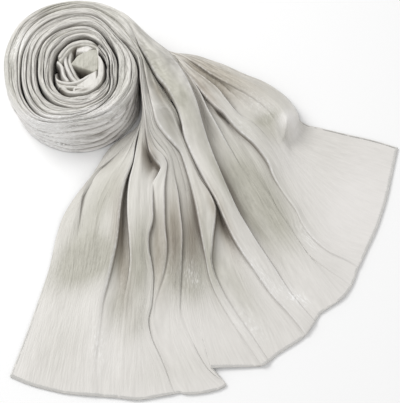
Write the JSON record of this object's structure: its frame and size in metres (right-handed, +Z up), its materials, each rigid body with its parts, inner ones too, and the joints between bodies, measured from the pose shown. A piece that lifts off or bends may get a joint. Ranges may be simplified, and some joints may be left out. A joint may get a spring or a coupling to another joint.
{
  "type": "satin scarf lying flat, one end rolled up and the other fanned out",
  "caption": "pale silver satin scarf lying on a surface, one end rolled into a standing spiral and the free end spread in a fan of soft folds with a narrow rolled hem",
  "frame": {"origin": "middle of the scarf's box, on the surface that it lies on", "axes": "+Z up, +X to the right and +Y away from the viewer in the picture"},
  "size_m": [0.4728, 0.4788, 0.0614],
  "materials": {
    "silver_satin": "soft sheen, fine lengthwise streaks",
    "silver_satin_shaded": "soft sheen, shaded inner end of the roll",
    "hem_thread": "matt sewn hem"
  },
  "bodies": {
    "root": {"roll_core": "silver_satin_shaded", "roll_turn_inner": "silver_satin", "roll_turn_middle": "silver_satin", "roll_turn_outer": "silver_satin", "fan": "silver_satin", "hem_end": "hem_thread", "hem_left": "hem_thread", "hem_right": "hem_thread"}
  },
  "joints": []
}
